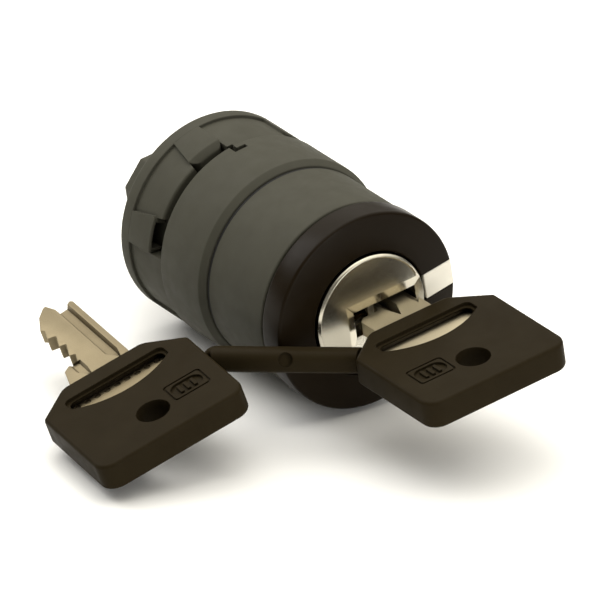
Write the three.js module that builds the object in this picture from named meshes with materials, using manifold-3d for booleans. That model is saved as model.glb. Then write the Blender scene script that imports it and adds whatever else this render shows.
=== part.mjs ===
// Selector key switch: a key-operated selector head with its two keys.
// Millimetres. The lock's axis is the Y axis: the dial faces -Y and the drive tail points to +Y.
// The origin is on that axis, at the seat step between the front collar and the rear body.

import * as THREE from "three";
import { mergeVertices } from "three/addons/utils/BufferGeometryUtils.js";
import Module from "manifold-3d";

const wasm = await Module();
wasm.setup();

// ---------------------------------------------------------------- driving dimensions

const GAP = 0.3; // running clearance between pieces
const OUTER_STEPS = 48; // facets round the large turned pieces
const INNER_STEPS = 32; // facets round the small turned pieces

// Housing, by radius and by place along the axis
const COLLAR_R = 14.6;
const BODY_R = 15.5;
const BORE_R = 11.6;
const CORE_R = 13.0;
const CORE_BORE_R = 12.3;
const COLLAR_FRONT = -14.45;
const COLLAR_REAR = -1.1;
const SEAT = -0.5;
const BODY_REAR = 9.95;
const CORE_REAR = 18.9;
const EDGE_ROUND = 0.4;
const SEAT_BEVEL = 0.85;

// Locking ring
const RING_R = 15.4;
const RING_PANEL_R = 14.95;
const RING_BORE_R = CORE_R + GAP;
const RING_RIM_FRONT = 18.3;
const RING_REAR = 20.6;
const LUG_COUNT = 6;
const LUG_PITCH = 360 / LUG_COUNT;
const FIRST_LUG = 51.3; // degrees from +X towards +Z
const LUG_WIDTH = 17;
const LUG_FRONT = 12.95;
const PANEL_FRONT = 11.75; // of the tapered panels; the others reach the rear body
const PANEL_TAPER = 5.2; // degrees that a tapered panel narrows by on each side
const STOP_NOTCH = { from: 96.5, to: 104.3, mouth: 101.8, front: 8.25, finger: 8.9 };

// Rubber rings and the rear bush, by radius and by place along the axis
const GASKET = { outer: 14.5, inner: 13.7, front: -1.05, rear: -0.55 };
const SEAL = { outer: 14.1, inner: 11.9, front: -14.9, rear: -14.6 };
const BUSH = { outer: 8.6, inner: 7.5, front: 19.2, rear: 21.0 };

// Dial
const DIAL_R = 14.9;
const DIAL_EDGE = -19.3;
const DIAL_INNER = -20.1;
const DIAL_REAR = -15.05;
const MARKER = { width: 3.9, depth: 0.7, inner: 9.5 };

// Lock
const DISC_R = 9.0;
const DISC_FRONT = -20.7;
const DISC_REAR = -18.7;
const PLUG_R = 8.6;
const PLUG_REAR = 6.9;
const SLEEVE_R = 11.3;
const SLEEVE_BORE_R = 8.9;
const SLEEVE_FRONT = -17.0;
const SLEEVE_REAR = 6.6;
const SLEEVE_FLANGE_R = 13.2;
const KEY_ROLL = 9.2; // degrees that the keyway is turned up from the X axis
const KEY_TURN = 45; // degrees between the key's positions
const KEYWAY_X = 2.65; // the keyway's middle, off the lock's axis
const KEYWAY_Z = -1.2;
const WAFER_COUNT = 4;
const WAFER_PITCH = 2.7;
const FIRST_WAFER = -15.4;
const WAFER_THICKNESS = 0.9;
const DRIVE = { half: 3.5, rear: 13.0 }; // the square that turns the coupler

// Drive coupler and rear
const COUPLER_R = 9.2;
const COUPLER_FRONT = 9.3;
const COUPLER_NECK = 18.6;
const COUPLER_NECK_R = 7.2;
const TAIL = { front: 21.2, rear: 32.0, halfWidth: 6.95, halfHeight: 5.65, chamfer: 3.3 };
const PLATE = { r: 14.1, front: 19.5, rear: 20.9, bore: 8.9 };
const DETENT = { outer: 12.0, inner: 9.5, front: 12.5, rear: CORE_REAR, y: 15.5, notches: 8 };
const BALL_R = 1.2;
const BALL_AT = 8.0;
const SCREW_COUNT = 3;
const SCREW_AT = 10.85;
const SCREW_R = 0.8;
const SCREW_HEAD_R = 1.5;

// Keys
const BLADE_THICKNESS = 2.2;
const BLADE_HALF = 4.85;
const HEAD = { half: 11.95, length: 22.8, thickness: 4.2, hole: 2.5, holeAt: 16.3 };
const WINDOW = { half: 7.9, near: 3.5, ends: 5.6, far: 8.3, corner: 0.8 };
const BOW = { half: 8.6, near: 2.6, far: 9.3 };
const KEY_1_AT = -25.5; // the head's blade side, along the axis
const KEY_2 = { x: -33.1, y: -2.8, z: -7.86, roll: 19.6, yaw: -6.77 };
const TETHER_R = 1.75;
const NECK_R = 0.9;
const TETHER_BOW = 1.3; // how far its middle bows out
const BOW_TOWARDS = [-0.503, -0.746, 0.435];
const TETHER_GAP = 0.35;
const TETHER_FROM = [HEAD.half, -10.0, 0]; // on the side of the second head
const TETHER_TO = [-9.7, -2.58, 0]; // on the sloping corner of the first head
const TETHER_TO_NORMAL = [-0.639, 0.769, 0];

// ---------------------------------------------------------------- materials

const plastic = (color, roughness) =>
  new THREE.MeshStandardMaterial({ color, roughness, metalness: 0 });
const metal = (color, roughness) =>
  new THREE.MeshStandardMaterial({ color, roughness, metalness: 1 });

const GREY = 0x4a4a45;
const BLACK = 0x1a1714;
const KEY_BROWN = 0x2e2921;
const WHITE = 0xe6e2d4;
const NICKEL = 0xc9bfa8;
const BRASS = 0xb08d4a;
const STEEL = 0x9c9c98;

// ---------------------------------------------------------------- geometry helpers

const degrees = (value) => THREE.MathUtils.degToRad(value);

function toManifold(geometry) {
  const plain = geometry.clone();
  plain.deleteAttribute("normal");
  plain.deleteAttribute("uv");
  const merged = mergeVertices(plain, 1e-4);
  const position = merged.getAttribute("position");
  const index = merged.getIndex().array;
  const triangles = [];
  for (let i = 0; i < index.length; i += 3) {
    const [a, b, c] = [index[i], index[i + 1], index[i + 2]];
    if (a !== b && b !== c && c !== a) {
      triangles.push(a, b, c);
    }
  }
  return new wasm.Manifold(
    new wasm.Mesh({
      numProp: 3,
      vertProperties: new Float32Array(position.array),
      triVerts: new Uint32Array(triangles),
    }),
  );
}

function fromManifold(manifold) {
  const mesh = manifold.getMesh();
  const geometry = new THREE.BufferGeometry();
  geometry.setAttribute("position", new THREE.BufferAttribute(mesh.vertProperties.slice(), 3));
  geometry.setIndex(new THREE.BufferAttribute(mesh.triVerts.slice(), 1));
  return geometry;
}

function join(first, ...others) {
  return fromManifold(others.reduce((sum, g) => sum.add(toManifold(g)), toManifold(first)));
}

function cut(first, ...others) {
  return fromManifold(others.reduce((sum, g) => sum.subtract(toManifold(g)), toManifold(first)));
}

// A ring turned about the Y axis, from its section as [radius, y] corners,
// going up the outside and down the inside.
function turned(corners, steps = OUTER_STEPS) {
  const points = corners.map(([r, y]) => new THREE.Vector2(r, y));
  if (corners[0][0] > 0) {
    points.push(points[0].clone());
  }
  return fromManifold(toManifold(new THREE.LatheGeometry(points, steps)));
}

function tube(outer, inner, front, rear, steps = OUTER_STEPS) {
  return turned([[outer, front], [outer, rear], [inner, rear], [inner, front]], steps);
}

function rod(radius, front, rear, steps = INNER_STEPS) {
  return turned([[0, front], [radius, front], [radius, rear], [0, rear]], steps);
}

// A box from its lowest to its highest corner.
function block([x1, y1, z1], [x2, y2, z2]) {
  const geometry = new THREE.BoxGeometry(x2 - x1, y2 - y1, z2 - z1);
  return geometry.translate((x1 + x2) / 2, (y1 + y2) / 2, (z1 + z2) / 2);
}

// A shape drawn in X and Y, thickened along Z about the plane z = middle.
function plate(shape, thickness, middle = 0, curveSegments = 8) {
  const settings = { depth: thickness, bevelEnabled: false, curveSegments };
  const geometry = new THREE.ExtrudeGeometry(shape, settings);
  return geometry.translate(0, 0, middle - thickness / 2);
}

// A shape drawn in X and Z, thickened along Y from front to rear.
function slab(shape, front, rear, curveSegments = 6) {
  const settings = { depth: rear - front, bevelEnabled: false, curveSegments };
  const geometry = new THREE.ExtrudeGeometry(shape, settings);
  return geometry.rotateX(Math.PI / 2).translate(0, rear, 0);
}

// Part of a tube between two angles. Its front may be narrower by an angle on each side.
function sector({ front, rear, inner, outer, from, to, inFrom = 0, inTo = 0 }) {
  const columns = Math.max(2, Math.round((to - from) / 6));
  const position = [];
  const index = [];
  for (let i = 0; i <= columns; i += 1) {
    const share = i / columns;
    const rearAngle = degrees(THREE.MathUtils.lerp(from, to, share));
    const frontAngle = degrees(THREE.MathUtils.lerp(from + inFrom, to - inTo, share));
    for (const [r, y, angle] of [
      [inner, front, frontAngle],
      [outer, front, frontAngle],
      [outer, rear, rearAngle],
      [inner, rear, rearAngle],
    ]) {
      position.push(r * Math.cos(angle), y, r * Math.sin(angle));
    }
  }
  for (let i = 0; i < columns; i += 1) {
    for (let side = 0; side < 4; side += 1) {
      const a = i * 4 + side;
      const b = i * 4 + ((side + 1) % 4);
      index.push(a, b + 4, a + 4, a, b, b + 4);
    }
  }
  const end = columns * 4;
  index.push(0, 2, 1, 0, 3, 2, end, end + 1, end + 2, end, end + 2, end + 3);
  const geometry = new THREE.BufferGeometry();
  geometry.setAttribute("position", new THREE.Float32BufferAttribute(position, 3));
  geometry.setIndex(index);
  return geometry;
}

function polygon(corners) {
  return new THREE.Shape(corners.map(([x, y]) => new THREE.Vector2(x, y)));
}

// A round wire along a curve.
function wire(curve, radius, steps, sides = 8) {
  const section = new THREE.Shape();
  section.absarc(0, 0, radius, 0, Math.PI * 2);
  const settings = { steps, extrudePath: curve, curveSegments: sides / 2 };
  return new THREE.ExtrudeGeometry(section, settings);
}

const part = new THREE.Group();
const rotor = new THREE.Group(); // everything that turns with the key
rotor.rotation.y = -degrees(KEY_ROLL);
const key1 = new THREE.Group();
key1.position.set(KEYWAY_X, KEY_1_AT, KEYWAY_Z);
const key2 = new THREE.Group();
key2.position.set(KEY_2.x, KEY_2.y, KEY_2.z);
key2.rotation.set(0, -degrees(KEY_2.roll), degrees(KEY_2.yaw), "ZYX");
rotor.add(key1);
part.add(rotor, key2);

function add(group, name, geometry, material) {
  const mesh = new THREE.Mesh(geometry, material);
  mesh.name = name;
  group.add(mesh);
  return mesh;
}

// ---------------------------------------------------------------- fixed housing

function frontCollar() {
  const flangeSeat = -2.3;
  return turned([
    [COLLAR_R - EDGE_ROUND, COLLAR_FRONT],
    [COLLAR_R, COLLAR_FRONT + EDGE_ROUND],
    [COLLAR_R, COLLAR_REAR],
    [SLEEVE_FLANGE_R + GAP, COLLAR_REAR],
    [SLEEVE_FLANGE_R + GAP, flangeSeat],
    [BORE_R, flangeSeat],
    [BORE_R, COLLAR_FRONT],
  ]);
}

function rearBody() {
  const ribFront = 6.9;
  const ribRear = 8.0;
  const ribR = 10.6;
  const shell = turned([
    [BODY_R - SEAT_BEVEL, SEAT],
    [BODY_R, SEAT + SEAT_BEVEL],
    [BODY_R, BODY_REAR],
    [CORE_R, BODY_REAR],
    [CORE_R, CORE_REAR],
    [CORE_BORE_R, CORE_REAR],
    [CORE_BORE_R, ribRear],
    [ribR, ribRear],
    [ribR, ribFront],
    [BORE_R, ribFront],
    [BORE_R, SEAT],
  ]);
  // A stop notch in the rear edge runs on as a slit, which leaves a springy finger beside it.
  const mouth = sector({
    front: STOP_NOTCH.front,
    rear: BODY_REAR + 1,
    inner: CORE_R + 0.2,
    outer: BODY_R + 1,
    from: STOP_NOTCH.mouth,
    to: STOP_NOTCH.to,
  });
  const slit = sector({
    front: STOP_NOTCH.front,
    rear: STOP_NOTCH.finger,
    inner: CORE_R + 0.2,
    outer: BODY_R + 1,
    from: STOP_NOTCH.from,
    to: STOP_NOTCH.mouth + 0.5,
  });
  return cut(shell, mouth, slit);
}

function lockSleeve() {
  const flange = { front: -2.0, rear: -0.8 };
  const sleeve = turned([
    [SLEEVE_R, SLEEVE_FRONT],
    [SLEEVE_R, flange.front],
    [SLEEVE_FLANGE_R, flange.front],
    [SLEEVE_FLANGE_R, flange.rear],
    [SLEEVE_R, flange.rear],
    [SLEEVE_R, SLEEVE_REAR],
    [SLEEVE_BORE_R, SLEEVE_REAR],
    [SLEEVE_BORE_R, SLEEVE_FRONT],
  ]);
  // The wafers drop into these broached grooves when the key comes out, in each of its positions.
  const grooveEnd = FIRST_WAFER + WAFER_COUNT * WAFER_PITCH;
  const grooveR = 10.1;
  const grooves = [-KEY_TURN, 0, KEY_TURN].map((turn) => {
    const groove = block([PLUG_R - 0.6, SLEEVE_FRONT - 1, -4.8], [grooveR, grooveEnd, 2.4]);
    return groove.rotateY(-degrees(KEY_ROLL + turn));
  });
  return cut(sleeve, ...grooves);
}

function detentRing() {
  const ring = tube(DETENT.outer, DETENT.inner, DETENT.front, DETENT.rear);
  const notches = [];
  for (let i = 0; i < DETENT.notches; i += 1) {
    const notch = rod(BALL_R, DETENT.y - BALL_R, DETENT.y + BALL_R, 12);
    notch.translate(DETENT.inner, 0, 0);
    notches.push(notch.rotateY(-degrees(KEY_ROLL) - (i * Math.PI * 2) / DETENT.notches));
  }
  for (const angle of screwAngles()) {
    const hole = rod(SCREW_R + GAP, DETENT.front + 1, DETENT.rear + 1, 12);
    notches.push(hole.translate(SCREW_AT, 0, 0).rotateY(angle));
  }
  return cut(ring, ...notches);
}

function screwAngles() {
  const first = Math.PI / 8;
  return Array.from({ length: SCREW_COUNT }, (_, i) => first + (i * Math.PI * 2) / SCREW_COUNT);
}

function backPlate() {
  const ring = tube(PLATE.r, PLATE.bore, PLATE.front, PLATE.rear);
  const holes = screwAngles().map((angle) => {
    const hole = rod(SCREW_R + GAP, PLATE.front - 1, PLATE.rear + 1, 12);
    return hole.translate(SCREW_AT, 0, 0).rotateY(angle);
  });
  return cut(ring, ...holes);
}

function backScrew(angle) {
  const tip = DETENT.front + 2.5;
  const headFront = PLATE.rear + 0.1;
  const headRear = PLATE.rear + 1.0;
  const screw = turned([
    [0, tip],
    [SCREW_R, tip],
    [SCREW_R, headFront],
    [SCREW_HEAD_R, headFront],
    [SCREW_HEAD_R, headRear],
    [0, headRear],
  ], 16);
  const slot = block([-2, headRear - 0.5, -0.25], [2, headRear + 1, 0.25]);
  return cut(screw, slot).translate(SCREW_AT, 0, 0).rotateY(angle);
}

add(part, "front_collar", frontCollar(), plastic(GREY, 0.6));
add(part, "seat_gasket", tube(GASKET.outer, GASKET.inner, GASKET.front, GASKET.rear), plastic(BLACK, 0.8));
add(part, "rear_body", rearBody(), plastic(GREY, 0.6));
add(part, "dial_seal", tube(SEAL.outer, SEAL.inner, SEAL.front, SEAL.rear), plastic(BLACK, 0.8));
add(part, "lock_sleeve", lockSleeve(), metal(BRASS, 0.4));
add(part, "detent_ring", detentRing(), plastic(WHITE, 0.5));
add(part, "back_plate", backPlate(), plastic(GREY, 0.6));
add(part, "rear_bush", tube(BUSH.outer, BUSH.inner, BUSH.front, BUSH.rear, INNER_STEPS), metal(BRASS, 0.4));
screwAngles().forEach((angle, i) => {
  add(part, `back_screw_${i + 1}`, backScrew(angle), metal(STEEL, 0.4));
});

// ---------------------------------------------------------------- locking ring

// Lugs and panels alternate round the ring. Every second panel is tapered, and the lugs follow its sides.
function lockingRing() {
  const overlap = 0.5;
  const ring = turned([
    [RING_R, RING_RIM_FRONT],
    [RING_R, RING_REAR],
    [PLATE.r + GAP, RING_REAR],
    [PLATE.r + GAP, PLATE.front - GAP],
    [RING_BORE_R, PLATE.front - GAP],
    [RING_BORE_R, RING_RIM_FRONT],
  ]);
  const taperAt = (y) => (PANEL_TAPER * (RING_RIM_FRONT - y)) / (RING_RIM_FRONT - PANEL_FRONT);
  const pieces = [];
  for (let i = 0; i < LUG_COUNT; i += 1) {
    const lug = FIRST_LUG + i * LUG_PITCH;
    const half = LUG_WIDTH / 2;
    const tapered = i % 2 === 1;
    pieces.push(
      sector({
        front: LUG_FRONT,
        rear: RING_RIM_FRONT + overlap,
        inner: RING_BORE_R,
        outer: RING_R,
        from: lug - half,
        to: lug + half,
        inFrom: tapered ? 0 : -taperAt(LUG_FRONT),
        inTo: tapered ? -taperAt(LUG_FRONT) : 0,
      }),
      sector({
        front: tapered ? PANEL_FRONT : BODY_REAR + GAP / 2,
        rear: RING_RIM_FRONT + overlap,
        inner: RING_BORE_R,
        outer: RING_PANEL_R,
        from: lug + half - overlap,
        to: lug + LUG_PITCH - half + overlap,
        inFrom: tapered ? PANEL_TAPER : 0,
        inTo: tapered ? PANEL_TAPER : 0,
      }),
    );
  }
  return join(ring, ...pieces);
}

add(part, "locking_ring", lockingRing(), plastic(GREY, 0.6));

// ---------------------------------------------------------------- rotor

function dialRing() {
  const lipR = 8.9;
  const lipFront = -18.4;
  const lipRear = -17.3;
  const ring = turned([
    [DIAL_R, DIAL_EDGE],
    [DIAL_R, DIAL_REAR],
    [BORE_R, DIAL_REAR],
    [BORE_R, lipRear],
    [lipR, lipRear],
    [lipR, lipFront],
    [DISC_R + GAP, lipFront],
    [DISC_R + GAP, DIAL_INNER],
  ]);
  return cut(ring, markerGroove());
}

// The pointer bar follows the slope of the dial's face.
function faceAt(r) {
  const slope = (DIAL_EDGE - DIAL_INNER) / (DIAL_R - DISC_R);
  return DIAL_INNER + slope * (r - DISC_R);
}

function markerBody() {
  const outer = DIAL_R - 0.05;
  const proud = 0.02;
  const shape = polygon([
    [MARKER.inner, faceAt(MARKER.inner) + proud],
    [outer, faceAt(outer) + proud],
    [outer, faceAt(outer) + MARKER.depth],
    [MARKER.inner, faceAt(MARKER.inner) + MARKER.depth],
  ]);
  return plate(shape, MARKER.width);
}

function markerGroove() {
  const room = GAP / 2;
  const inner = MARKER.inner - room;
  const outer = DIAL_R + 1;
  const shape = polygon([
    [inner, faceAt(inner) - 1],
    [outer, faceAt(outer) - 1],
    [outer, faceAt(outer) + MARKER.depth + room],
    [inner, faceAt(inner) + MARKER.depth + room],
  ]);
  return plate(shape, MARKER.width + 2 * room);
}

function lockPlug() {
  const neckR = 7.3;
  const neckRear = 7.9;
  const shoulderR = 8.2;
  const shoulderRear = 9.0;
  const rim = 0.5;
  const dishR = 7.9;
  const dish = 0.45;
  const body = turned([
    [0, DISC_FRONT + dish],
    [dishR, DISC_FRONT + dish],
    [DISC_R - rim, DISC_FRONT],
    [DISC_R, DISC_FRONT + rim],
    [DISC_R, DISC_REAR],
    [PLUG_R, DISC_REAR],
    [PLUG_R, PLUG_REAR],
    [neckR, PLUG_REAR],
    [neckR, neckRear],
    [shoulderR, neckRear],
    [shoulderR, shoulderRear],
    [0, shoulderRear],
  ], OUTER_STEPS);
  const { half } = DRIVE;
  const drive = block([-half, shoulderRear - 0.5, -half], [half, DRIVE.rear, half]);
  const room = 0.35;
  const halfSlot = BLADE_THICKNESS / 2 + room;
  const slotRight = KEYWAY_X + BLADE_HALF + room;
  const mouth = block(
    [KEYWAY_X - BLADE_HALF - 0.55, DISC_FRONT - 1, KEYWAY_Z - halfSlot - 0.3],
    [slotRight, DISC_FRONT + 1.5, KEYWAY_Z + halfSlot + 0.5],
  );
  const keyway = block(
    [KEYWAY_X - 3.2, DISC_FRONT - 1, KEYWAY_Z - halfSlot],
    [slotRight, -3.0, KEYWAY_Z + halfSlot],
  );
  const halfWafer = WAFER_THICKNESS / 2 + GAP;
  const slots = waferPlaces().map((y) =>
    block([-PLUG_R - 1, y - halfWafer, -4.4], [PLUG_R + 1, y + halfWafer, 2.0]),
  );
  const screwHole = rod(1.5, 8, 14, 16);
  return cut(join(body, drive), mouth, keyway, springChannel(), screwHole, ...slots);
}

// The leaf spring lies in this channel along the plug's left side.
function springChannel() {
  const front = FIRST_WAFER - 0.8;
  const rear = FIRST_WAFER + (WAFER_COUNT - 1) * WAFER_PITCH + 0.8;
  return block([-PLUG_R - 1, front, -1.2], [-7.3, rear, 1.2]);
}

function waferPlaces() {
  return Array.from({ length: WAFER_COUNT }, (_, i) => FIRST_WAFER + i * WAFER_PITCH);
}

// A wafer is a plate across the plug, open to the right where the blade runs.
function wafer(y) {
  const half = 7.2;
  const low = -4.0;
  const high = 1.6;
  const tongue = 8.15; // the end that drops into the sleeve's groove
  const throat = { left: -1.4, low: KEYWAY_Z - 1.5, high: KEYWAY_Z + 1.5 };
  const shape = polygon([
    [-half, low],
    [half, low],
    [half, throat.low],
    [throat.left, throat.low],
    [throat.left, throat.high],
    [tongue, throat.high],
    [tongue, high],
    [-half, high],
  ]);
  return slab(shape, y - WAFER_THICKNESS / 2, y + WAFER_THICKNESS / 2);
}

function plugCirclip() {
  const ring = tube(10.2, 7.6, 7.05, 7.75, INNER_STEPS);
  return cut(ring, block([-1.5, 6, 7], [1.5, 9, 12]));
}

function driveCoupler() {
  const body = turned([
    [0, COUPLER_FRONT],
    [COUPLER_R, COUPLER_FRONT],
    [COUPLER_R, COUPLER_NECK],
    [COUPLER_NECK_R, COUPLER_NECK],
    [COUPLER_NECK_R, TAIL.front + 0.5],
    [0, TAIL.front + 0.5],
  ], INNER_STEPS);
  const { halfWidth, halfHeight, chamfer } = TAIL;
  const section = [];
  for (const [x, z] of [[1, 1], [-1, 1], [-1, -1], [1, -1]]) {
    const onSide = [x * halfWidth, z * (halfHeight - chamfer)];
    const onTop = [x * (halfWidth - chamfer), z * halfHeight];
    section.push(...(x === z ? [onSide, onTop] : [onTop, onSide]));
  }
  const tail = slab(polygon(section), TAIL.front, TAIL.rear);
  const socketHalf = DRIVE.half + GAP;
  const socket = block(
    [-socketHalf, COUPLER_FRONT - 1, -socketHalf],
    [socketHalf, DRIVE.rear + GAP, socketHalf],
  );
  const screwHole = rod(1.8, COUPLER_FRONT, TAIL.rear + 1, 16);
  const headRoom = rod(3.1, TAIL.rear - 2.4, TAIL.rear + 1, 20);
  const ballHole = rod(BALL_R + 0.15, -COUPLER_R - 1, -4.5, 16);
  const across = ballHole.rotateZ(Math.PI / 2).translate(0, DETENT.y, 0);
  const mirrored = across.clone().rotateY(Math.PI);
  return cut(join(body, tail), socket, screwHole, headRoom, across, mirrored);
}

function couplerScrew() {
  const tip = 9.5;
  const shankR = 1.3;
  const headR = 2.8;
  const headFront = TAIL.rear - 2.2;
  const headRear = TAIL.rear - 0.4;
  const screw = turned([
    [0, tip],
    [shankR, tip],
    [shankR, headFront],
    [headR, headFront],
    [headR, headRear],
    [0, headRear],
  ], 20);
  const slotOne = block([-2.0, headRear - 0.8, -0.35], [2.0, headRear + 1, 0.35]);
  const slotTwo = block([-0.35, headRear - 0.8, -2.0], [0.35, headRear + 1, 2.0]);
  return cut(screw, slotOne, slotTwo);
}

function detentSpring() {
  const coils = 3;
  const inner = 4.9;
  const outer = BALL_AT - BALL_R - 0.25;
  const radius = 0.85;
  const points = [];
  const count = 27;
  for (let i = 0; i <= count; i += 1) {
    const share = i / count;
    const angle = share * coils * Math.PI * 2;
    points.push(
      new THREE.Vector3(
        THREE.MathUtils.lerp(inner, outer, share),
        DETENT.y + radius * Math.cos(angle),
        radius * Math.sin(angle),
      ),
    );
  }
  return wire(new THREE.CatmullRomCurve3(points), 0.18, count, 4);
}

function waferSpring() {
  const front = FIRST_WAFER - 0.45;
  const rear = FIRST_WAFER + (WAFER_COUNT - 1) * WAFER_PITCH + 0.45;
  return block([-7.95, front, -0.9], [-7.6, rear, 0.9]);
}

add(rotor, "dial_ring", dialRing(), plastic(BLACK, 0.35));
add(rotor, "marker_insert", markerBody(), plastic(WHITE, 0.4));
add(rotor, "lock_plug", lockPlug(), metal(NICKEL, 0.25));
add(rotor, "wafer_spring", waferSpring(), metal(STEEL, 0.4));
add(rotor, "plug_circlip", plugCirclip(), metal(STEEL, 0.4));
add(rotor, "drive_coupler", driveCoupler(), plastic(GREY, 0.6));
add(rotor, "coupler_screw", couplerScrew(), metal(STEEL, 0.4));
[0, Math.PI].forEach((turn, i) => {
  const ball = new THREE.SphereGeometry(BALL_R - 0.05, 12, 8).translate(BALL_AT, DETENT.y, 0);
  add(rotor, `detent_ball_${i + 1}`, fromManifold(toManifold(ball)).rotateY(turn), metal(STEEL, 0.2));
  add(rotor, `detent_spring_${i + 1}`, detentSpring().rotateY(turn), metal(STEEL, 0.4));
});
waferPlaces().forEach((y, i) => {
  add(rotor, `wafer_${i + 1}`, wafer(y), metal(BRASS, 0.4));
});

// ---------------------------------------------------------------- keys

// The blade in the key's own frame: X across it, Y towards the tip, Z through its thickness.
// The teeth are on the -X edge. The bow plate lies inside the head.
function bladeOutline() {
  const edge = BLADE_HALF;
  return polygon([
    [edge, -BOW.near],
    [edge, 19.0],
    [4.5, 19.6],
    [3.9, 19.1],
    [2.4, 18.8],
    [1.5, 21.4],
    [0.8, 21.3],
    [-0.6, 19.6],
    [-1.9, 16.6],
    [-1.3, 16.0],
    [-2.1, 13.9],
    [-0.8, 13.4],
    [-1.8, 10.7],
    [-0.8, 10.4],
    [-1.8, 7.4],
    [-0.9, 7.1],
    [-1.5, 5.4],
    [-3.2, 5.1],
    [-4.2, 4.5],
    [-edge, 3.0],
    [-edge, -BOW.near],
    [-BOW.half, -BOW.near],
    [-BOW.half, -BOW.far],
    [BOW.half, -BOW.far],
    [BOW.half, -BOW.near],
  ]);
}

// The space that the head leaves for the bow plate and the blade's root.
function bladeRoom(room) {
  const edge = BLADE_HALF + room;
  const bowEdge = BOW.half + room;
  return polygon([
    [edge, room + 1],
    [-edge, room + 1],
    [-edge, -BOW.near + room],
    [-bowEdge, -BOW.near + room],
    [-bowEdge, -BOW.far - room],
    [bowEdge, -BOW.far - room],
    [bowEdge, -BOW.near + room],
    [edge, -BOW.near + room],
  ]);
}

function keyBlade() {
  const blade = plate(bladeOutline(), BLADE_THICKNESS);
  const groove = block([2.15, 1.2, 0.4], [3.85, 23, 2]);
  const under = block([-0.6, 1.2, -2], [0.7, 23, -0.5]);
  return cut(blade, groove, under);
}

// The head's outline: a straight blade side with sloping corners, and rounded far corners.
function headOutline() {
  const { half, length } = HEAD;
  const straight = 6.6;
  const slopeTo = 4.45;
  const corner = 2.5;
  const shape = new THREE.Shape();
  shape.moveTo(-straight, 0);
  shape.lineTo(-half, -slopeTo);
  shape.lineTo(-half, -length + corner);
  shape.absarc(-half + corner, -length + corner, corner, Math.PI, Math.PI * 1.5);
  shape.lineTo(half - corner, -length);
  shape.absarc(half - corner, -length + corner, corner, -Math.PI / 2, 0);
  shape.lineTo(half, -slopeTo);
  shape.lineTo(straight, 0);
  return shape;
}

function windowOutline() {
  const { half, near, ends, far, corner } = WINDOW;
  const shape = new THREE.Shape();
  shape.moveTo(-half + corner, -near);
  shape.quadraticCurveTo(-half, -near, -half, -near - corner);
  shape.lineTo(-half, -ends);
  shape.quadraticCurveTo(0, ends - 2 * far, half, -ends);
  shape.lineTo(half, -near - corner);
  shape.quadraticCurveTo(half, -near, half - corner, -near);
  return shape;
}

function keyHead() {
  const head = plate(headOutline(), HEAD.thickness, 0, 6);
  const window = plate(windowOutline(), HEAD.thickness + 2, 0, 8);
  const hole = rod(HEAD.hole, -HEAD.thickness, HEAD.thickness, 24);
  hole.rotateX(Math.PI / 2).translate(0, -HEAD.holeAt, 0);
  const pocket = plate(bladeRoom(GAP), BLADE_THICKNESS + 2 * GAP);
  return cut(head, window, hole, pocket);
}

for (const [group, name] of [[key1, "key_1"], [key2, "key_2"]]) {
  add(group, `${name}_blade`, keyBlade(), metal(NICKEL, 0.3));
  add(group, `${name}_head`, keyHead(), plastic(KEY_BROWN, 0.5));
}

// The moulded bar between the heads: a thin neck at each end, square to the head it springs from.
function keyTether() {
  part.updateMatrixWorld(true);
  const reach = 0.9;
  const start = new THREE.Vector3(...TETHER_FROM);
  start.x += TETHER_GAP;
  const end = new THREE.Vector3(...TETHER_TO);
  const endNormal = new THREE.Vector3(...TETHER_TO_NORMAL);
  end.addScaledVector(endNormal, TETHER_GAP);
  const first = key2.localToWorld(start.clone());
  const second = key2.localToWorld(start.clone().setX(start.x + reach));
  const last = key1.localToWorld(end.clone());
  const secondLast = key1.localToWorld(end.clone().addScaledVector(endNormal, reach));
  const bowed = new THREE.Vector3(...BOW_TOWARDS).multiplyScalar(TETHER_BOW);
  const points = [first, second];
  for (const share of [0.25, 0.5, 0.75]) {
    const point = second.clone().lerp(secondLast, share);
    points.push(point.addScaledVector(bowed, 4 * share * (1 - share)));
  }
  points.push(secondLast, last);
  const path = new THREE.CatmullRomCurve3(points);
  const middle = [];
  for (let tenth = 1; tenth <= 9; tenth += 1) {
    middle.push(path.getPointAt(tenth / 10));
  }
  const neck = wire(path, NECK_R, 16, 8);
  const bar = wire(new THREE.CatmullRomCurve3(middle), TETHER_R, 10, 12);
  return join(neck, bar);
}

add(part, "key_tether", keyTether(), plastic(KEY_BROWN, 0.5));

export default part;
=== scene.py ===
"""The looks of the selector key switch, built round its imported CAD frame.

Lengths in this script are millimetres and angles are degrees.
Helpers turn them into Blender's metres and radians.
The lock's axis is Y: the dial faces -Y and the drive tail points to +Y. Z is up.
"""

import math

import bmesh
import bpy
from mathutils import Matrix, Vector


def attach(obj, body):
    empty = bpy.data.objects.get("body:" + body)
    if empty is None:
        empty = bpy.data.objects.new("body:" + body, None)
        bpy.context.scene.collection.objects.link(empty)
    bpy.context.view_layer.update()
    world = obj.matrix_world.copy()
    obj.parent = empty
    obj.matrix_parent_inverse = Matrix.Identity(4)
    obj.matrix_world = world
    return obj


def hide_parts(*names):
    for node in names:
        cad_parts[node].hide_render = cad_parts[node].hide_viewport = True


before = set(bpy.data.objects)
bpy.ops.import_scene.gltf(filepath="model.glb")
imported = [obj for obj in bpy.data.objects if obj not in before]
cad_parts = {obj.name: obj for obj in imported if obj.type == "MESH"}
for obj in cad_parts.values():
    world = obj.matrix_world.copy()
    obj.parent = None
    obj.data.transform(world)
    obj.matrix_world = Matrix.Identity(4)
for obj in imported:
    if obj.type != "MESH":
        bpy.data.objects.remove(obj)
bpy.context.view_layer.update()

MM = 0.001

# ------------------------------------------------------------------ sizes shared by several pieces

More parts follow.
